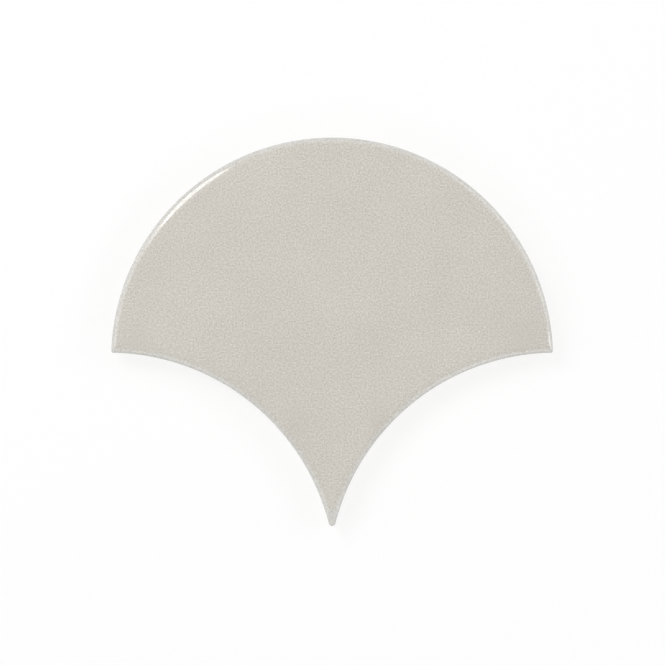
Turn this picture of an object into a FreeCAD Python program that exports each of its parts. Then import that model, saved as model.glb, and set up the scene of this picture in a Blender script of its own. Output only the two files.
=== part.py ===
"""Fish scale wall tile: one piece of dry-pressed, glazed clay in the shape of a fan.

Seen from the front, three arcs make the outline: a round top, and two hollow sides that follow
the round tops of the two tiles in the next row down, one grout joint away. The hollow sides run
down to a narrow tip. A soft arris goes all round the face, the wall tapers a little towards the
back, and a waffle of shallow keys is pressed into the back for the adhesive.

The frame is in millimetres. The origin is the centre of the round top, on the back of the tile;
+X is to the right, +Y towards the round top and +Z out of the glazed face.
"""
import FreeCAD, Part
import math
import os

# Outline, seen from the front
TILE_WIDTH = 120.0
GROUT_JOINT = 1.6        # between a round top and the hollow side that follows it
SIDE_GAP = 1.2           # between the corners of two tiles side by side
ROW_STEP = 60.0          # from one row of tiles to the next
CORNER_RADIUS = 0.6
TIP_RADIUS = 0.95

# Wall
THICKNESS = 8.0
ARRIS_WIDTH = 2.6        # how far the soft edge reaches over the face
ARRIS_HEIGHT = 1.4       # how far it drops down the wall
NOSE_RADIUS = 0.9        # its small radius, at the wall
WALL_TAPER = 0.2         # how much further in the wall stands at the back, on each side
BACK_BEVEL = 0.5

# Keys in the back
KEY_PITCH = 10.0
RIB_WIDTH = 2.2          # between two keys, on the back plane
KEY_DEPTH = 0.7
KEY_SLOPE = 0.4          # how far each wall of a key leans in over its depth
KEY_MARGIN = 4.0         # the plain border between the keys and the outline
FIELD_CORNER_RADIUS = 1.5
LEAST_KEY_SHARE = 0.25   # a key that the border cuts down to less than this is left out

# The three arcs of the outline
ROUND_RADIUS = TILE_WIDTH / 2
HOLLOW_RADIUS = ROUND_RADIUS + GROUT_JOINT
HOLLOW_X = ROUND_RADIUS + SIDE_GAP / 2

# The arris is two arcs that meet smoothly: the nose, and a crown of large radius up to the face.
# They meet where both lean over by CROWN_LEAN from the flat of the face.
CROWN_RADIUS = (((ARRIS_WIDTH - NOSE_RADIUS)**2 + ARRIS_HEIGHT**2 - NOSE_RADIUS**2)
                / (2 * (ARRIS_HEIGHT - NOSE_RADIUS)))
CROWN_LEAN = math.atan2(ARRIS_WIDTH - NOSE_RADIUS, CROWN_RADIUS - ARRIS_HEIGHT)

OVERSHOOT = 1.0          # how far a turned form runs past the face and the back

Vector = FreeCAD.Vector
UP = Vector(0, 0, 1)
ROUND_CENTRE = Vector(0, 0, 0)
HOLLOW_LEFT = Vector(-HOLLOW_X, -ROW_STEP, 0)
HOLLOW_RIGHT = Vector(HOLLOW_X, -ROW_STEP, 0)


def angle(centre, point):
    """The direction from centre to point, in degrees from +X towards +Y."""
    return math.degrees(math.atan2(point.y - centre.y, point.x - centre.x))


def crossing(centre_1, radius_1, centre_2, radius_2):
    """The point where two circles cross, on the left of the way from centre 1 to centre 2."""
    way = centre_2 - centre_1
    distance = way.Length
    way.normalize()
    along = (distance**2 + radius_1**2 - radius_2**2) / (2 * distance)
    aside = math.sqrt(radius_1**2 - along**2)
    return centre_1 + way * along + UP.cross(way) * aside


def roundings(inset, corner_radius, tip_radius):
    """The right corner, left corner and tip of the outline drawn in by inset.

    Each is (centre, radius, from, to): an arc that runs anticlockwise from the direction of one
    point to that of another, and meets the two arcs beside it smoothly."""
    right = crossing(ROUND_CENTRE, ROUND_RADIUS - inset - corner_radius,
                     HOLLOW_RIGHT, HOLLOW_RADIUS + inset + corner_radius)
    left = Vector(-right.x, right.y, 0)
    tip = crossing(HOLLOW_LEFT, HOLLOW_RADIUS + inset + tip_radius,
                   HOLLOW_RIGHT, HOLLOW_RADIUS + inset + tip_radius)
    return [
        (right, corner_radius, HOLLOW_RIGHT, right * 2 - ROUND_CENTRE),
        (left, corner_radius, left * 2 - ROUND_CENTRE, HOLLOW_LEFT),
        (tip, tip_radius, HOLLOW_LEFT, HOLLOW_RIGHT),
    ]


def arc(centre, radius, start, end):
    """An edge about centre, anticlockwise from the direction of start to the direction of end."""
    first = angle(centre, start)
    sweep = (angle(centre, end) - first) % 360
    return Part.makeCircle(radius, centre, UP, first, first + sweep)


def outline(inset, corner_radius, tip_radius, height=0.0):
    """The outline drawn in by inset, as a wire at that height."""
    corners = roundings(inset, corner_radius, tip_radius)
    right, left, tip = (corner[0] for corner in corners)
    sides = [
        arc(ROUND_CENTRE, ROUND_RADIUS - inset, right, left),
        arc(HOLLOW_LEFT, HOLLOW_RADIUS + inset, tip, left),
        arc(HOLLOW_RIGHT, HOLLOW_RADIUS + inset, right, tip),
    ]
    right_arc, left_arc, tip_arc = (arc(*corner) for corner in corners)
    wire = Part.Wire([sides[0], left_arc, sides[1], tip_arc, sides[2], right_arc])
    wire.translate(UP * height)
    return wire


def wall_section(radius, side):
    """The section of a turned form in the XZ plane, from the axis to a wall widest at radius.

    Side is 1 where the form is the clay itself, and -1 where it hollows the clay out."""
    def at(inset, height):
        return Vector(radius - side * inset, 0, height)

    def on_nose(lean):
        return at(NOSE_RADIUS * (1 - math.sin(lean)),
                  THICKNESS - ARRIS_HEIGHT + NOSE_RADIUS * math.cos(lean))

    def on_crown(lean):
        return at(ARRIS_WIDTH - CROWN_RADIUS * math.sin(lean),
                  THICKNESS - CROWN_RADIUS * (1 - math.cos(lean)))

    upright = math.pi / 2
    brow, meeting, face_edge = on_nose(upright), on_nose(CROWN_LEAN), on_crown(0)
    nose = Part.Arc(brow, on_nose((upright + CROWN_LEAN) / 2), meeting)
    crown = Part.Arc(meeting, on_crown(CROWN_LEAN / 2), face_edge)
    bevel = at(WALL_TAPER, BACK_BEVEL)
    foot = at(WALL_TAPER + BACK_BEVEL, 0)

    top, bottom = THICKNESS + OVERSHOOT, -OVERSHOOT
    inner = min(face_edge.x, 0) - OVERSHOOT
    outer = max(face_edge.x, radius) + OVERSHOOT
    rest = Part.makePolygon([
        face_edge, Vector(face_edge.x, 0, top), Vector(inner, 0, top), Vector(inner, 0, bottom),
        Vector(foot.x, 0, bottom), foot, bevel, brow,
    ])
    whole = Part.Face(Part.Wire([nose.toShape(), crown.toShape(), *rest.Edges]))
    one_side = Part.Face(Part.makePolygon([
        Vector(0, 0, bottom), Vector(outer, 0, bottom), Vector(outer, 0, top), Vector(0, 0, top),
        Vector(0, 0, bottom),
    ]))
    return whole.common(one_side).Faces[0]


def turned(centre, radius, side, start=0.0, sweep=360.0):
    """The form whose wall goes round centre, from the angle start through sweep."""
    form = wall_section(radius, side).revolve(Vector(0, 0, 0), UP, sweep)
    form.rotate(Vector(0, 0, 0), UP, start)
    form.translate(centre)
    return form


def round_off(tile, centre, radius, start, end):
    """The tile with one sharp corner cut away and a turned rounding in its place."""
    beyond = 2 * OVERSHOOT
    corner = Part.Face(Part.makePolygon([centre, start, end, centre]))
    corner.translate(-UP * beyond)
    first = angle(centre, start)
    rounding = turned(centre, radius, 1, first, (angle(centre, end) - first) % 360)
    return tile.cut(corner.extrude(UP * (THICKNESS + 2 * beyond))).fuse(rounding)


def blank():
    """The tile with a plain back."""
    tile = turned(ROUND_CENTRE, ROUND_RADIUS, 1)
    for centre in (HOLLOW_LEFT, HOLLOW_RIGHT):
        tile = tile.cut(turned(centre, HOLLOW_RADIUS, -1))
    for rounding in roundings(0.0, CORNER_RADIUS, TIP_RADIUS):
        tile = round_off(tile, *rounding)
    slab = Part.makeBox(2 * TILE_WIDTH, 2 * TILE_WIDTH, THICKNESS, Vector(-TILE_WIDTH, -TILE_WIDTH, 0))
    return tile.common(slab).removeSplitter()


def key(x, y):
    """The clay that one key leaves out: a low pyramid cut off flat, its mouth on the back plane."""
    mouth = (KEY_PITCH - RIB_WIDTH) / 2
    floor = mouth - KEY_SLOPE
    form = Part.makeWedge(-mouth, 0, -mouth, -floor, -floor, mouth, KEY_DEPTH, mouth, floor, floor)
    form.rotate(Vector(0, 0, 0), Vector(1, 0, 0), 90)
    form.translate(Vector(x, y, 0))
    return form


def keys():
    """The waffle of keys, cut off at the border round it."""
    mouth = outline(KEY_MARGIN, FIELD_CORNER_RADIUS, FIELD_CORNER_RADIUS)
    floor = outline(KEY_MARGIN + KEY_SLOPE, FIELD_CORNER_RADIUS, FIELD_CORNER_RADIUS, KEY_DEPTH)
    field = Part.makeLoft([mouth, floor], True, True)
    steps = math.ceil(ROUND_RADIUS / KEY_PITCH)
    centres = [(step + 0.5) * KEY_PITCH for step in range(-steps, steps)]
    least = LEAST_KEY_SHARE * key(0, 0).Volume
    cut_off = [key(x, y).common(field) for x in centres for y in centres]
    return Part.makeCompound([form for form in cut_off if form.Volume > least])


os.makedirs("parts", exist_ok=True)
fish_scale_tile = blank().cut(keys()).Solids[0]
fish_scale_tile.exportStep("parts/fish_scale_tile.step")
print(f"{len(fish_scale_tile.Faces)} faces, {fish_scale_tile.Volume:.0f} mm3")
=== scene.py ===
"""Fish scale wall tile: pressed white clay under a sprayed gloss glaze, lying on its back.

The frame is the part's own: metres, with the origin at the centre of the round top, on the back of
the tile; +X is to the right, +Y towards the round top and +Z out of the glazed face. Lengths here
are in millimetres until the mesh is written.
"""
import math

import bpy
import numpy as np
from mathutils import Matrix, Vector, noise
from mathutils.geometry import delaunay_2d_cdt


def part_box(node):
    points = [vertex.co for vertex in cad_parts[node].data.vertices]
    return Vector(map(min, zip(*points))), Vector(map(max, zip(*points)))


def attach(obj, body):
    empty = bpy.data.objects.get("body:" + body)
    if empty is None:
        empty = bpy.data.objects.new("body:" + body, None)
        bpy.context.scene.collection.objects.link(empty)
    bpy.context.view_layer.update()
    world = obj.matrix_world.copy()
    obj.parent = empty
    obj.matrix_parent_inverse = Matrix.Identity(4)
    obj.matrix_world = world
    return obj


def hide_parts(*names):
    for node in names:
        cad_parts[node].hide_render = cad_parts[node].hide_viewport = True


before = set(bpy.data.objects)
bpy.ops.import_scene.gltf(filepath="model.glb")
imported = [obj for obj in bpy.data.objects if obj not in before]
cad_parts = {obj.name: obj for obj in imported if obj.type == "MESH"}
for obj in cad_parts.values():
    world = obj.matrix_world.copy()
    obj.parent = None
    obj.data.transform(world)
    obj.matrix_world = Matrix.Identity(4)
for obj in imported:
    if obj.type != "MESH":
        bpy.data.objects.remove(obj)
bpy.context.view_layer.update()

# The pressed clay body
# One piece of spray-dried white clay, pressed in a steel die and fired. Seen from the front it is a
# fan: a round top, and two hollow sides that follow the round tops of the next row, down to a tip.
# The die leaves a slightly tapered wall, a bevel round the back and a waffle of keys for the adhesive.
MM = 0.001
NODE = "fish_scale_tile"
ROUND_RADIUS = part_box(NODE)[1].y / MM
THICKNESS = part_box(NODE)[1].z / MM
GROUT_JOINT = 1.6               # between a round top and the hollow side that follows it
SIDE_GAP = 1.2                  # between the corners of two tiles side by side
ROW_STEP = 60.0                 # from one row of tiles to the next
HOLLOW_RADIUS = ROUND_RADIUS + GROUT_JOINT
HOLLOW_X = ROUND_RADIUS + SIDE_GAP / 2
CORNER_RADIUS = 0.6
TIP_RADIUS = 0.95
EASE = 0.25                     # how much rounder the corners get for each millimetre further in

ROUND_CENTRE = np.array([0.0, 0.0])
HOLLOW_LEFT = np.array([-HOLLOW_X, -ROW_STEP])
HOLLOW_RIGHT = np.array([HOLLOW_X, -ROW_STEP])

ROUND_POINTS = 330
HOLLOW_POINTS = 132
CORNER_POINTS = 14


def crossing(centre_1, radius_1, centre_2, radius_2):
    """The point where two circles cross, on the left of the way from centre 1 to centre 2."""
    way = centre_2 - centre_1
    distance = np.hypot(*way)
    along = (distance**2 + radius_1**2 - radius_2**2) / (2 * distance)
    aside = math.sqrt(radius_1**2 - along**2)
    return centre_1 + (way * along + np.array([-way[1], way[0]]) * aside) / distance


def arc(centre, radius, start, end, turn, count):
    """Points and outward directions along an arc, from the direction of start to that of end.

    turn is 1 where it runs anticlockwise, round clay, and -1 where it runs clockwise, round a hollow.
    """
    first = math.atan2(*(start - centre)[::-1])
    sweep = (math.atan2(*(end - centre)[::-1]) - first) % math.tau
    if turn < 0:
        sweep -= math.tau
    angles = first + sweep * np.arange(count) / count
    out = np.stack([np.cos(angles), np.sin(angles)], axis=1)
    return centre + radius * out, out * turn


def contour(inset):
    """The outline drawn in by inset: its points and their outward directions, anticlockwise."""
    corner = CORNER_RADIUS + EASE * max(inset, 0.0)
    tip = TIP_RADIUS + EASE * max(inset, 0.0)
    # right, left and point are the centres of the three small arcs. A corner's arc meets the round
    # top straight out from the middle, so in the direction of twice its own centre.
    right = crossing(ROUND_CENTRE, ROUND_RADIUS - inset - corner,
                     HOLLOW_RIGHT, HOLLOW_RADIUS + inset + corner)
    left = right * [-1, 1]
    point = crossing(HOLLOW_LEFT, HOLLOW_RADIUS + inset + tip, HOLLOW_RIGHT, HOLLOW_RADIUS + inset + tip)
    arcs = [
        arc(right, corner, HOLLOW_RIGHT, right * 2, 1, CORNER_POINTS),
        arc(ROUND_CENTRE, ROUND_RADIUS - inset, right, left, 1, ROUND_POINTS),
        arc(left, corner, left * 2, HOLLOW_LEFT, 1, CORNER_POINTS),
        arc(HOLLOW_LEFT, HOLLOW_RADIUS + inset, left, point, -1, HOLLOW_POINTS),
        arc(point, tip, HOLLOW_LEFT, HOLLOW_RIGHT, 1, CORNER_POINTS),
        arc(HOLLOW_RIGHT, HOLLOW_RADIUS + inset, point, right, -1, HOLLOW_POINTS),
    ]
    return np.concatenate([a[0] for a in arcs]), np.concatenate([a[1] for a in arcs])


def depth_in(points):
    """How far points lie inside the outline, ignoring its rounded corners."""
    return np.minimum.reduce([
        ROUND_RADIUS - np.hypot(*(points - ROUND_CENTRE).T),
        np.hypot(*(points - HOLLOW_LEFT).T) - HOLLOW_RADIUS,
        np.hypot(*(points - HOLLOW_RIGHT).T) - HOLLOW_RADIUS,
    ])


def wander(points, wavelength, seed):
    """A smooth random value from about -1 to 1 at each point, that changes over a wavelength."""
    return np.array([noise.noise((x / wavelength, y / wavelength, seed)) for x, y in points])


# The ribs between the keys and the border round them lie in one plane, the back of the tile. A key
# is a square with leaning walls, cut off where it would run into the border.
KEY_PITCH = 10.0
KEY_HALF_WIDTH = 3.9
KEY_DEPTH = 0.7
KEY_SLOPE = 0.4                 # how far each wall of a key leans in over its depth
KEY_CORNER = 0.7
KEY_MARGIN = 4.0                # the plain border between the keys and the outline
LEAST_KEY_SHARE = 0.25          # a key that the border cuts down to less than this is left out
KEY_SAMPLES = 20                # points each way that measure how much of a key is left
KEY_REACH = 7                   # keys each way from the middle, enough to cover the tile
KEY_STEPS = range(-KEY_REACH, KEY_REACH)

# The mesh of the back follows lines at these distances.
KEY_LINES = [0.0, 1.5, 2.9, 3.35, 3.55, 3.75, 3.95, 4.2]           # from the middle of a key outward
BORDER_LINES = [1.2, 1.7, 2.4, 3.0, 3.6, 3.85, 4.05, 4.25, 4.45]   # from the outline inward
CUT_STEP = 0.35                 # between points of a wall that the border cuts off
CUT_REACH = 2.0                 # how far past the border those closer points go


def into_key(points):
    """How far points lie inside the nearest key, on the plane of the back."""
    aside = np.abs(points % KEY_PITCH - KEY_PITCH / 2)
    past = np.maximum(aside - (KEY_HALF_WIDTH - KEY_CORNER), 0)
    square = KEY_CORNER - np.hypot(*past.T)
    square = np.where(past.sum(1) > 0, square, KEY_HALF_WIDTH - aside.max(1))
    return np.minimum(square, depth_in(points) - KEY_MARGIN)


def key_share(column, row):
    """How much of a key the border leaves."""
    steps = (np.arange(KEY_SAMPLES) + 0.5) / KEY_SAMPLES * KEY_PITCH
    cell = np.stack(np.meshgrid(steps, steps), axis=2).reshape(-1, 2)
    kept = into_key(cell + np.array([column, row]) * KEY_PITCH) > KEY_SLOPE / 2
    whole = into_key(cell) > KEY_SLOPE / 2
    return kept.sum() / whole.sum()


kept_keys = np.array([[key_share(column, row) > LEAST_KEY_SHARE for row in KEY_STEPS]
                      for column in KEY_STEPS])


def back_height(points):
    """The height of the back at points: 0 on the ribs, up to the depth of a key on its floor.

    A wall bends softly into the rib and into the floor.
    """
    column, row = (np.floor(points / KEY_PITCH).astype(int) - KEY_STEPS[0]).T
    down = np.clip(into_key(points) / KEY_SLOPE, 0, 1)
    return KEY_DEPTH * down * down * (3 - 2 * down) * kept_keys[column, row]


# The glaze
# An opaque light grey gloss glaze, sprayed over the face and fired. It lies about an eighth of a
# millimetre thick, draws thin over the soft edge of the clay, and ends in a wavy lip on the wall.
ARRIS_WIDTH = 3.2               # how far the soft edge reaches over the face
ARRIS_HEIGHT = 1.4              # how far it drops down the wall
ARRIS_FALL = 2.4                # the power of its curve, with which it runs out flat into the face
ARRIS_RINGS = 18
FACE_RINGS = [3.7, 4.4, 5.2]    # further in than the soft edge, on the flat of the face
WALL_TAPER = 0.2                # how much further in the wall stands at the back
BACK_BEVEL = 0.5
BEVEL_EASE = 0.06               # the edge of the bevel is rounded this far each way
BARE_SHARES = [0.2, 0.45, 0.7, 0.9]     # rings up the bare wall, from the bevel to the lip
GLAZED_SHARES = [0.3, 0.55, 0.8]        # rings up the glazed wall, from the lip to the soft edge

# The foot of the wall crumbles a little where the press lets go of the clay. Its rounding is given
# as the distance past the foot of the bevel, and the height.
FOOT_CURVE = [(0.06, 0.0), (-0.04, 0.03), (-0.12, 0.1)]
CRUMB_SIZE = 1.7
CRUMB_DEPTH = 0.35
CRUMB_FREE = 0.25               # the higher, the more of the foot stays whole

GLAZE_THICKNESS = 0.13
GLAZE_LINE = 4.3                # the mean height of the lip above the back
LIP_WANDER = 0.55               # how far it strays from that height
LIP_WAVE = 11.0
LIP_FINE_WAVE = 3.0
LIP_FINE_SHARE = 0.3

# The mesh carries the amount of glaze at each point, 1 being the usual, for the colour to follow. In
# four patches it is raised to carry painted shade, and on the outermost rim it is lowered to carry a
# painted reflection. The lip is given as a share of the glaze's thickness, 1 on the clay and 0 on the
# glaze's own surface, with the height over the line and the amount of glaze there.
USUAL_GLAZE = 1.0
BEAD_GLAZE = 1.4
LIP_CURVE = [(1.0, 0.0, USUAL_GLAZE), (0.55, -0.015, 1.2),
             (0.2, 0.05, BEAD_GLAZE), (0.0, 0.2, BEAD_GLAZE)]
LIP_TOP_GLAZE = 1.2
WALL_DRAIN = 0.5                # how much less there is towards the top of the wall
THIN_GLAZE_AND_SHEEN = 0.5
THIN_AND_SHEEN_WIDTH = 0.85               # how far in over the edge the glaze is thin and carries painted reflection
THIN_AND_SHEEN_FADE = 0.6
# Painted reflection: the outermost rim gets a still lower glaze amount, so it is painted palest,
# standing in for the pale room mirrored in the steep edge.
PAINTED_SHEEN_AMOUNT = 0.2
PAINTED_SHEEN_WIDTH = 0.35           # how far in the painted reflection is palest
PAINTED_SHEEN_FADE = 0.25
# Painted shade: four faint darker patches, carried as extra glaze amount that the colour darkens.
PAINTED_SHADE_PATCHES = [(-10.5, -17.0, 4.2), (13.0, -16.5, 4.0), (52.5, 5.5, 5.5), (-53.0, 4.0, 4.0)]
PAINTED_SHADE_EXTRA = 0.25               # how much more glaze amount, and so how much darker, the middle of a painted patch is

GLAZE_SINK = 0.02               # the middle of its waves lies this far under the press's size
FLOW_WAVE = 14.0
FLOW_SHARE = 0.66
FLOW_FINE_WAVE = 6.0
FLOW_FINE_SHARE = 0.34

outline_points, _ = contour(0.0)
glaze_line = (GLAZE_LINE + LIP_WANDER * wander(outline_points, LIP_WAVE, seed=3.0)
              + LIP_FINE_SHARE * LIP_WANDER * wander(outline_points, LIP_FINE_WAVE, seed=5.0))


def wall_inset(height):
    """How far in the bare wall of the press stands at a height."""
    brow = THICKNESS - ARRIS_HEIGHT
    return WALL_TAPER * (brow - height) / (brow - BACK_BEVEL)


rings = []                      # each is (points in 3D, amount of glaze), from the back border up


def add_ring(inset, height, amount=0.0):
    """Adds the outline drawn in by inset at a height; both may change along the outline."""
    inset = np.broadcast_to(inset, len(outline_points))
    height = np.broadcast_to(height, len(outline_points))
    points, outward = contour(float(inset.mean()))
    points = points - outward * (inset - inset.mean())[:, None]
    rings.append((np.column_stack([points, height]), np.broadcast_to(amount, len(points))))


for inset in BORDER_LINES[::-1]:
    points, _ = contour(inset)
    add_ring(inset, back_height(points))

crumb = np.maximum(wander(outline_points, CRUMB_SIZE, seed=8.0) - CRUMB_FREE, 0) * CRUMB_DEPTH
foot = WALL_TAPER + BACK_BEVEL
for past, height in FOOT_CURVE:
    add_ring(foot + past + crumb, height)
add_ring(WALL_TAPER + GLAZE_THICKNESS + BEVEL_EASE, BACK_BEVEL - BEVEL_EASE)
add_ring(WALL_TAPER + GLAZE_THICKNESS, BACK_BEVEL + BEVEL_EASE)
for share in BARE_SHARES:
    height = BACK_BEVEL + share * (glaze_line - BACK_BEVEL)
    add_ring(wall_inset(height) + GLAZE_THICKNESS, height)

first_glaze_ring = len(rings)
for deep, above, amount in LIP_CURVE:
    add_ring(wall_inset(glaze_line) + deep * GLAZE_THICKNESS, glaze_line + above, amount)
for share in GLAZED_SHARES:
    height = glaze_line + share * (THICKNESS - ARRIS_HEIGHT - glaze_line)
    add_ring(wall_inset(height), height, LIP_TOP_GLAZE - WALL_DRAIN * share)
for angle in np.linspace(0, math.pi / 2, ARRIS_RINGS):
    inset = ARRIS_WIDTH * (1 - math.cos(angle)**(2 / ARRIS_FALL))
    height = THICKNESS - ARRIS_HEIGHT * (1 - math.sin(angle))
    # Over the edge the glaze amount falls where the glaze draws thin; the paler tone this gives is
    # partly the clay beneath and partly painted reflection.
    recovered = np.clip((inset - THIN_AND_SHEEN_WIDTH) / THIN_AND_SHEEN_FADE, 0, 1)
    # On the outermost rim the amount falls further; this is painted reflection, not thinner glaze.
    painted_sheen_share = np.clip(1 - (inset - PAINTED_SHEEN_WIDTH) / PAINTED_SHEEN_FADE, 0, 1)
    add_ring(inset, height, THIN_GLAZE_AND_SHEEN + (USUAL_GLAZE - THIN_GLAZE_AND_SHEEN) * recovered
             - (THIN_GLAZE_AND_SHEEN - PAINTED_SHEEN_AMOUNT) * painted_sheen_share)
for inset in FACE_RINGS:
    add_ring(inset, THICKNESS, USUAL_GLAZE)


def fill(ring, scattered, clear):
    """Triangles that fill a ring, over the scattered points that lie clear of it, and those points."""
    edge = ring[:, :2]
    following = np.roll(edge, -1, axis=0)
    inside = np.zeros(len(scattered), bool)
    near = np.full(len(scattered), np.inf)
    for (x1, y1), (x2, y2) in zip(edge, following):
        level = (y1 > scattered[:, 1]) != (y2 > scattered[:, 1])
        if level.any():
            cut = (x2 - x1) * (scattered[:, 1] - y1) / (y2 - y1) + x1
            inside ^= level & (scattered[:, 0] < cut)
        near = np.minimum(near, np.hypot(scattered[:, 0] - x1, scattered[:, 1] - y1))
    scattered = scattered[inside & (near > clear)]
    given = [Vector(p) for p in np.concatenate([edge, scattered])]
    loop = [(i, (i + 1) % len(edge)) for i in range(len(edge))]
    inside_loop = 1             # Blender's own number for keeping only the triangles inside the loop
    same_place = 1e-7           # points that lie nearer to each other than this are one
    _, _, triangles, sources, _, _ = delaunay_2d_cdt(given, loop, [], inside_loop, same_place)
    return [[sources[i][0] for i in triangle] for triangle in triangles], scattered


def crossings(across, up):
    """The points where upright lines at across meet level lines at up."""
    return np.stack(np.meshgrid(across, up), axis=2).reshape(-1, 2)


# The middle of the face is filled with even triangles.
FACE_STEP = 1.1
FACE_REACH = 66.0               # each way from the middle, a little past the tile
FACE_CLEAR = 0.7                # the least distance from the last ring
ROW_SHARE = math.sqrt(0.75)     # the height of an even triangle, for a side of 1
marks = np.arange(-FACE_REACH, FACE_REACH, FACE_STEP)
across, up = np.meshgrid(marks, marks * ROW_SHARE)
across = across + (np.arange(len(marks)) % 2)[:, None] * FACE_STEP / 2
scattered = np.stack([across, up], axis=2).reshape(-1, 2)
face_triangles, face_points = fill(rings[-1][0], scattered, FACE_CLEAR)

# The middle of the back is filled with triangles along the walls of the keys. The border cuts some
# keys off at a slant. The walls of those have closer points there.
BACK_CLEAR = 0.12
lines = np.array(sorted({KEY_PITCH * (step + 0.5) + side * line
                         for step in KEY_STEPS for line in KEY_LINES for side in (-1, 1)}
                        | {KEY_PITCH * step for step in KEY_STEPS}))
between = np.arange(lines[0], lines[-1], CUT_STEP)
between = between[np.abs(between[:, None] - lines).min(axis=1) > CUT_STEP / 4]
cut = np.concatenate([crossings(lines, between), crossings(between, lines)])
on_wall = np.abs(into_key(cut) - KEY_SLOPE / 2) < KEY_SLOPE
cut = cut[on_wall & (depth_in(cut) < KEY_MARGIN + CUT_REACH)]
scattered = np.concatenate([crossings(lines, lines), cut])
back_triangles, back_points = fill(rings[0][0], scattered, BACK_CLEAR)

ring_size = len(outline_points)
vertices = np.concatenate([ring for ring, _ in rings]
                          + [np.column_stack([face_points, np.full(len(face_points), THICKNESS)]),
                             np.column_stack([back_points, back_height(back_points)])])
glaze = np.concatenate([amount for _, amount in rings]
                       + [np.full(len(face_points), USUAL_GLAZE), np.zeros(len(back_points))])

# Painted shade: four faint darker patches, each given as x, y and reach, carried as extra glaze amount.
glazed = glaze > 0
for x, y, reach in PAINTED_SHADE_PATCHES:
    apart = np.hypot(vertices[glazed, 0] - x, vertices[glazed, 1] - y)
    glaze[glazed] += PAINTED_SHADE_EXTRA * np.exp(-(apart / reach)**2)

# Gentle waves in the glaze, from its own flow while it was molten.
waves = (FLOW_SHARE * wander(vertices[glazed, :2], FLOW_WAVE, seed=1.0)
         + FLOW_FINE_SHARE * wander(vertices[glazed, :2], FLOW_FINE_WAVE, seed=2.0))
vertices[glazed, 2] -= GLAZE_SINK * (1 - waves)

faces = []
for number in range(len(rings) - 1):
    lower, upper = number * ring_size, (number + 1) * ring_size
    for i in range(ring_size):
        j = (i + 1) % ring_size
        faces.append((lower + i, lower + j, upper + j, upper + i))
ring_faces = len(faces)
last_ring, scatter = (len(rings) - 1) * ring_size, len(rings) * ring_size
for triangle in face_triangles:
    faces.append([i + last_ring if i < ring_size else i - ring_size + scatter for i in triangle])
for triangle in back_triangles:
    faces.append([i if i < ring_size else i - ring_size + scatter + len(face_points)
                  for i in reversed(triangle)])

tile_mesh = bpy.data.meshes.new("glazed_tile")
tile_mesh.from_pydata((vertices * MM).tolist(), [], faces)
tile_mesh.attributes.new("glaze", "FLOAT", "POINT").data.foreach_set("value", glaze)
material_of = np.zeros(len(faces), np.int32)
material_of[first_glaze_ring * ring_size:ring_faces + len(face_triangles)] = 1
tile_mesh.polygons.foreach_set("material_index", material_of)
tile_mesh.shade_smooth()
tile = bpy.data.objects.new("glazed_tile", tile_mesh)
bpy.context.collection.objects.link(tile)


def linear(code):
    """The linear colour of an sRGB hex code such as #C8C4BC."""
    parts = [int(code[i:i + 2], 16) / 255 for i in (1, 3, 5)]
    return [c / 12.92 if c <= 0.04045 else ((c + 0.055) / 1.055)**2.4 for c in parts] + [1.0]


def add_node(tree, kind, settings=None, inputs=None):
    """A node with its settings, and its inputs each set to a value or linked to an output."""
    made = tree.nodes.new(kind)
    for name, value in (settings or {}).items():
        setattr(made, name, value)
    for name, value in (inputs or {}).items():
        if isinstance(value, bpy.types.NodeSocket):
            tree.links.new(value, made.inputs[name])
        else:
            made.inputs[name].default_value = value
    return made


def new_material(name):
    """A material with an empty node tree."""
    material = bpy.data.materials.new(name)
    material.use_nodes = True
    material.node_tree.nodes.clear()
    return material


# White earthenware clay, dust-pressed and fired once: matt and chalky, of pressed granules about
# 0.4 mm across, a few of them darker with iron. The kiln's rollers leave a little white wash on the
# ribs and the border, which are all that they touch.
GRANULE = 0.42
PIT = 0.25 * GRANULE
CLAY_RELIEF = 0.06
CLAY_MOTTLE = 9.0
MOTTLE_SHARE = 0.35
IRON_SPACING = 3.2
IRON_CORE = 0.035               # the full and the whole radius of a speck, as shares of the spacing
IRON_EDGE = 0.06
WASH_PATCH = 14.0
WASH_FULL = 0.04                # the wash is whole up to this height
WASH_TOP = 0.2
FACTOR, COLOUR_A, COLOUR_B, MIXED = 0, 6, 7, 2      # the numbers of a Mix node's colour sockets
clay = new_material("pressed_white_clay")
tree = clay.node_tree
place = add_node(tree, "ShaderNodeTexCoord").outputs["Object"]
granules = add_node(tree, "ShaderNodeTexVoronoi", {"feature": "SMOOTH_F1"},
                    {"Vector": place, "Scale": 1 / (GRANULE * MM), "Smoothness": 0.4})
granule_tone = add_node(tree, "ShaderNodeValToRGB", None, {"Fac": granules.outputs["Color"]})
granule_tone.color_ramp.elements[0].color = linear("#E2D9CA")
granule_tone.color_ramp.elements[1].color = linear("#EFE8DB")
mottle = add_node(tree, "ShaderNodeTexNoise", None,
                  {"Vector": place, "Scale": 1 / (CLAY_MOTTLE * MM), "Detail": 4.0})
mottle_tone = add_node(tree, "ShaderNodeValToRGB", None, {"Fac": mottle.outputs["Fac"]})
mottle_tone.color_ramp.elements[0].position = 0.3
mottle_tone.color_ramp.elements[0].color = linear("#E4DACB")
mottle_tone.color_ramp.elements[1].position = 0.7
mottle_tone.color_ramp.elements[1].color = linear("#FFFFFF")
mottled = add_node(tree, "ShaderNodeMix", {"data_type": "RGBA", "blend_type": "MULTIPLY"},
                   {FACTOR: MOTTLE_SHARE, COLOUR_A: granule_tone.outputs["Color"],
                    COLOUR_B: mottle_tone.outputs["Color"]})
iron = add_node(tree, "ShaderNodeTexVoronoi", None,
                {"Vector": place, "Scale": 1 / (IRON_SPACING * MM), "Randomness": 1.0})
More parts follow.
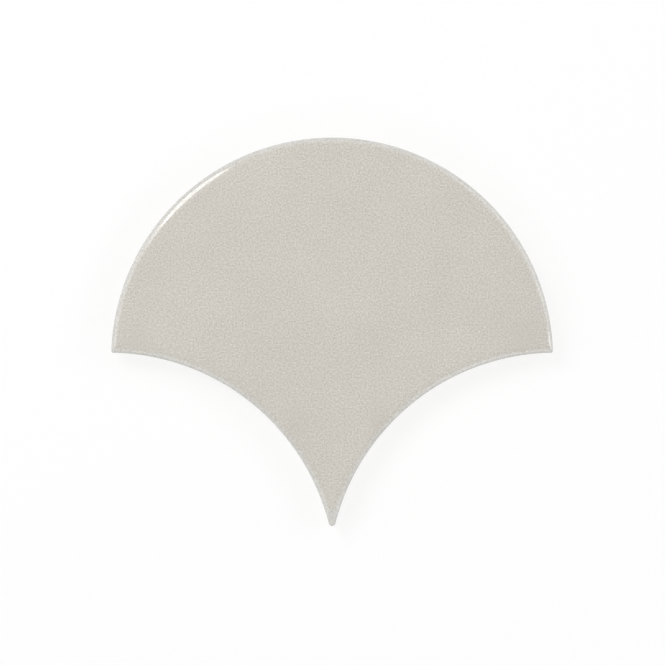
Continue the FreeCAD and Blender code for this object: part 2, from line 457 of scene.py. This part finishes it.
iron_speck = add_node(tree, "ShaderNodeMapRange", None,
                      {"Value": iron.outputs["Distance"], "From Min": IRON_CORE,
                       "From Max": IRON_EDGE, "To Min": 0.55, "To Max": 0.0})
specked = add_node(tree, "ShaderNodeMix", {"data_type": "RGBA"},
                   {FACTOR: iron_speck.outputs["Result"], COLOUR_A: mottled.outputs[MIXED],
                    COLOUR_B: linear("#9A7B5C")})
above_back = add_node(tree, "ShaderNodeSeparateXYZ", None, {"Vector": place}).outputs["Z"]
on_ribs = add_node(tree, "ShaderNodeMapRange", None,
                   {"Value": above_back, "From Min": WASH_FULL * MM, "From Max": WASH_TOP * MM,
                    "To Min": 1.0, "To Max": 0.0})
wash = add_node(tree, "ShaderNodeTexNoise", None,
                {"Vector": place, "Scale": 1 / (WASH_PATCH * MM), "Detail": 6.0, "Roughness": 0.65})
wash_cover = add_node(tree, "ShaderNodeMapRange", None,
                      {"Value": wash.outputs["Fac"], "From Min": 0.4, "From Max": 0.62,
                       "To Min": 0.1, "To Max": 0.75})
washed = add_node(tree, "ShaderNodeMath", {"operation": "MULTIPLY"},
                  {0: on_ribs.outputs["Result"], 1: wash_cover.outputs["Result"]})
clay_colour = add_node(tree, "ShaderNodeMix", {"data_type": "RGBA"},
                       {FACTOR: washed.outputs["Value"], COLOUR_A: specked.outputs[MIXED],
                        COLOUR_B: linear("#F5F3EE")})
pits = add_node(tree, "ShaderNodeTexNoise", None,
                {"Vector": place, "Scale": 1 / (PIT * MM), "Detail": 2.0})
relief = add_node(tree, "ShaderNodeMath", {"operation": "MULTIPLY_ADD"},
                  {0: pits.outputs["Fac"], 1: 0.35, 2: granules.outputs["Distance"]})
clay_bump = add_node(tree, "ShaderNodeBump", {"invert": True},
                     {"Height": relief.outputs["Value"], "Distance": CLAY_RELIEF * MM,
                      "Strength": 0.8})
clay_surface = add_node(tree, "ShaderNodeBsdfPrincipled", None,
                        {"Base Color": clay_colour.outputs[MIXED], "Roughness": 0.9, "IOR": 1.45,
                         "Specular IOR Level": 0.3, "Normal": clay_bump.outputs["Normal"]})
add_node(tree, "ShaderNodeOutputMaterial", None, {"Surface": clay_surface.outputs["BSDF"]})

# Opaque gloss glaze on white clay, sprayed and fired: smooth as glass, with a faint even grain from
# its crystals. Where it draws thin over the edge it is paler and cooler, partly from the clay beneath
# and partly as a painted reflection of the pale room in the steep edge. The outermost third of a
# millimetre is palest, and that is painted reflection alone. The real grain is finer than shows; this
# one is about 0.4 mm, and goes into the thickness a whole number of times, so that the face cuts it
# evenly.
GRAINS_THROUGH = 18
GRAIN = THICKNESS / GRAINS_THROUGH
RUN = 1 / 3                     # the grain is three times as long down the wall, where the glaze ran
CLOUD = 20.0
RIPPLE = 3.5
RIPPLE_HEIGHT = 0.006
gloss = new_material("sprayed_gloss_glaze")
tree = gloss.node_tree
place = add_node(tree, "ShaderNodeTexCoord").outputs["Object"]
drawn = add_node(tree, "ShaderNodeVectorMath", {"operation": "MULTIPLY"},
                 {0: place, 1: (1.0, 1.0, RUN)})
grain = add_node(tree, "ShaderNodeTexNoise", None,
                 {"Vector": drawn.outputs["Vector"], "Scale": 1 / (GRAIN * MM), "Detail": 1.0,
                  "Roughness": 0.6})
grain_tone = add_node(tree, "ShaderNodeValToRGB", None, {"Fac": grain.outputs["Fac"]})
grain_tone.color_ramp.elements[0].position = 0.25
grain_tone.color_ramp.elements[0].color = linear("#B7B2A9")
grain_tone.color_ramp.elements[1].position = 0.75
grain_tone.color_ramp.elements[1].color = linear("#DBD7CF")
thin_and_sheen_tone = add_node(tree, "ShaderNodeValToRGB", None, {"Fac": grain.outputs["Fac"]})
thin_and_sheen_tone.color_ramp.elements[0].position = 0.25
thin_and_sheen_tone.color_ramp.elements[0].color = linear("#C5C4BE")
thin_and_sheen_tone.color_ramp.elements[1].position = 0.75
thin_and_sheen_tone.color_ramp.elements[1].color = linear("#DEDDD9")
amount_here = add_node(tree, "ShaderNodeAttribute", {"attribute_name": "glaze"}).outputs["Fac"]
# Where the amount is low the colour goes over to the paler, cooler tone: partly the clay showing through
# thin glaze, partly painted reflection.
thin_and_sheen = add_node(tree, "ShaderNodeMapRange", None,
                {"Value": amount_here, "From Min": PAINTED_SHEEN_AMOUNT, "From Max": USUAL_GLAZE,
                 "To Min": 1.0, "To Max": 0.0})
edged_and_sheen = add_node(tree, "ShaderNodeMix", {"data_type": "RGBA"},
                 {FACTOR: thin_and_sheen.outputs["Result"], COLOUR_A: grain_tone.outputs["Color"],
                  COLOUR_B: thin_and_sheen_tone.outputs["Color"]})
# Where the amount is high the colour darkens. On the bead of the lip this is thicker glaze; in the four
# patches it is painted shade.
thick_glaze_and_painted_shade = add_node(tree, "ShaderNodeMapRange", None,
                 {"Value": amount_here, "From Min": USUAL_GLAZE, "From Max": BEAD_GLAZE,
                  "To Min": 0.0, "To Max": 0.6})
layered = add_node(tree, "ShaderNodeMix", {"data_type": "RGBA"},
                   {FACTOR: thick_glaze_and_painted_shade.outputs["Result"], COLOUR_A: edged_and_sheen.outputs[MIXED],
                    COLOUR_B: linear("#C1BCB3")})
cloud = add_node(tree, "ShaderNodeTexNoise", None,
                 {"Vector": place, "Scale": 1 / (CLOUD * MM), "Detail": 4.0, "Roughness": 0.8})
cloud_tone = add_node(tree, "ShaderNodeMapRange", None,
                      {"Value": cloud.outputs["Fac"], "From Min": 0.3, "From Max": 0.7,
                       "To Min": 0.97, "To Max": 1.03})
glaze_colour = add_node(tree, "ShaderNodeVectorMath", {"operation": "SCALE"},
                        {"Vector": layered.outputs[MIXED], "Scale": cloud_tone.outputs["Result"]})
ripple = add_node(tree, "ShaderNodeTexNoise", None,
                  {"Vector": place, "Scale": 1 / (RIPPLE * MM), "Detail": 1.0})
glaze_bump = add_node(tree, "ShaderNodeBump", None,
                      {"Height": ripple.outputs["Fac"], "Distance": RIPPLE_HEIGHT * MM,
                       "Strength": 0.5})
glaze_surface = add_node(tree, "ShaderNodeBsdfPrincipled", None,
                         {"Base Color": glaze_colour.outputs["Vector"], "Roughness": 0.08,
                          "IOR": 1.56, "Normal": glaze_bump.outputs["Normal"]})
add_node(tree, "ShaderNodeOutputMaterial", None, {"Surface": glaze_surface.outputs["BSDF"]})

tile_mesh.materials.append(clay)
tile_mesh.materials.append(gloss)
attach(tile, "root")
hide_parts(NODE)

# The floor
# A plain matt white sheet that the tile lies on. What the camera and the gloss see of it is four
# fifths its own white and one fifth the light that falls on it, so the tile's shadow stays. Further
# off, where no shadow falls, it goes over into all its own white, so its far edge doesn't show.
FLOOR_WIDTH = 3000.0
OWN_WHITE = 0.8
FADE_START = 150.0
FADE_END = 700.0


def seen_rays(tree):
    """1 on the rays of the camera, of gloss and of glass, and 0 on the light that falls on things."""
    ray = add_node(tree, "ShaderNodeLightPath")
    camera_or_gloss = add_node(tree, "ShaderNodeMath", {"operation": "MAXIMUM"},
                               {0: ray.outputs["Is Camera Ray"], 1: ray.outputs["Is Glossy Ray"]})
    seen = add_node(tree, "ShaderNodeMath", {"operation": "MAXIMUM"},
                    {0: camera_or_gloss.outputs["Value"], 1: ray.outputs["Is Transmission Ray"]})
    return seen.outputs["Value"]


half = FLOOR_WIDTH / 2 * MM
floor_mesh = bpy.data.meshes.new("floor")
floor_mesh.from_pydata([(-half, -half, 0), (half, -half, 0), (half, half, 0), (-half, half, 0)],
                       [], [(0, 1, 2, 3)])
floor = bpy.data.objects.new("floor", floor_mesh)
bpy.context.collection.objects.link(floor)
sheet = new_material("plain_white_sheet")
tree = sheet.node_tree
seen = seen_rays(tree)
place = add_node(tree, "ShaderNodeTexCoord").outputs["Object"]
away = add_node(tree, "ShaderNodeVectorMath", {"operation": "LENGTH"}, {"Vector": place})
own_white = add_node(tree, "ShaderNodeMapRange", {"interpolation_type": "SMOOTHSTEP"},
                     {"Value": away.outputs["Value"], "From Min": FADE_START * MM,
                      "From Max": FADE_END * MM, "To Min": OWN_WHITE, "To Max": 1.0})
own_share = add_node(tree, "ShaderNodeMath", {"operation": "MULTIPLY"},
                     {0: seen, 1: own_white.outputs["Result"]})
lit = add_node(tree, "ShaderNodeBsdfDiffuse", None, {"Color": linear("#FAFAFA")})
own = add_node(tree, "ShaderNodeEmission", None, {"Color": linear("#FFFFFF"), "Strength": 1.0})
sheet_surface = add_node(tree, "ShaderNodeMixShader", None,
                         {0: own_share.outputs["Value"], 1: lit.outputs["BSDF"],
                          2: own.outputs["Emission"]})
add_node(tree, "ShaderNodeOutputMaterial", None, {"Surface": sheet_surface.outputs["Shader"]})
floor_mesh.materials.append(sheet)

# The studio
# Soft boxes in a white room. A small bright one at the upper left gives the highlight in the edge of
# the glaze, and dimmer ones all round light the rest of that edge. The three rim boxes reach lowest
# and are among the dimmest, because the flat face mirrors them when it is seen from low down.
MIDDLE_Y = 7.2                  # the middle of the tile lies this far towards the round top
CENTRE = Vector((0.0, MIDDLE_Y * MM, THICKNESS * MM))
BOX_DISTANCE = 900.0


def soft_box(name, azimuth, polar, width, height, radiance):
    """An oval lamp that faces the tile. Azimuth is from +X towards +Y, and polar from straight up;
    width and height are the angles in degrees that it takes up, seen from the tile."""
    lamp = bpy.data.lights.new(name, "AREA")
    lamp.shape = "ELLIPSE"
    distance = BOX_DISTANCE * MM
    lamp.size = 2 * distance * math.tan(math.radians(width / 2))
    lamp.size_y = 2 * distance * math.tan(math.radians(height / 2))
    area = math.pi / 4 * lamp.size * lamp.size_y
    lamp.energy = radiance * math.pi * area
    box = bpy.data.objects.new(name, lamp)
    a, p = math.radians(azimuth), math.radians(polar)
    way = Vector((math.cos(a) * math.sin(p), math.sin(a) * math.sin(p), math.cos(p)))
    box.location = CENTRE + distance * way
    box.rotation_euler = way.to_track_quat("Z", "Y").to_euler()
    box.visible_camera = False
    bpy.context.collection.objects.link(box)


soft_box("key_box", azimuth=131.8, polar=40.7, width=15.8, height=27.5, radiance=7.5)
soft_box("key_side", azimuth=145, polar=41, width=8, height=22, radiance=2.9)
soft_box("key_glow", azimuth=130, polar=20, width=8, height=10, radiance=0.9)
soft_box("top_box", azimuth=80, polar=50, width=56, height=34, radiance=0.6)
soft_box("left_box", azimuth=163, polar=53, width=46, height=30, radiance=1.4)
soft_box("left_low_box", azimuth=196, polar=54, width=36, height=26, radiance=1.35)
soft_box("left_rim_box", azimuth=172, polar=76, width=70, height=24, radiance=0.43)
soft_box("right_box", azimuth=33, polar=53, width=36, height=34, radiance=1.3)
soft_box("right_low_box", azimuth=12, polar=60, width=26, height=14, radiance=2.0)
soft_box("right_rim_box", azimuth=18, polar=76, width=62, height=24, radiance=0.46)
soft_box("corner_box", azimuth=346, polar=57, width=28, height=20, radiance=2.3)
soft_box("corner_strip", azimuth=3.4, polar=55, width=4, height=14, radiance=4.7)
soft_box("bottom_left_box", azimuth=243, polar=56, width=20, height=24, radiance=1.4)
soft_box("bottom_box", azimuth=270, polar=58, width=30, height=30, radiance=0.4)
soft_box("bottom_right_box", azimuth=298, polar=57, width=32, height=20, radiance=1.9)
soft_box("bottom_rim_box", azimuth=295, polar=76, width=44, height=24, radiance=0.46)

ROOM_LIGHT = 0.305              # what the walls shed on the tile; the camera and the gloss see white
world = bpy.data.worlds.new("white_room")
bpy.context.scene.world = world
world.use_nodes = True
tree = world.node_tree
tree.nodes.clear()
room_light = add_node(tree, "ShaderNodeMath", {"operation": "MAXIMUM"},
                      {0: seen_rays(tree), 1: ROOM_LIGHT})
room = add_node(tree, "ShaderNodeBackground", None,
                {"Color": linear("#FFFFFF"), "Strength": room_light.outputs["Value"]})
add_node(tree, "ShaderNodeOutputWorld", None, {"Surface": room.outputs["Background"]})
bpy.context.scene.view_settings.view_transform = "Standard"

# The camera
# It looks straight down on the tile, with the round top up in the picture. The picture is as wide as
# FRAME_WIDTH at the height where the tile is widest.
FRAME_WIDTH = 180.45
FRAME_CENTRE = (0.1, 7.08)
LENS = 100.0
WIDEST_HEIGHT = THICKNESS - ARRIS_HEIGHT
camera_data = bpy.data.cameras.new("camera")
camera_data.lens = LENS
camera = bpy.data.objects.new("camera", camera_data)
lens_distance = FRAME_WIDTH * LENS / camera_data.sensor_width
camera.location = (FRAME_CENTRE[0] * MM, FRAME_CENTRE[1] * MM, (WIDEST_HEIGHT + lens_distance) * MM)
bpy.context.collection.objects.link(camera)
bpy.context.scene.camera = camera
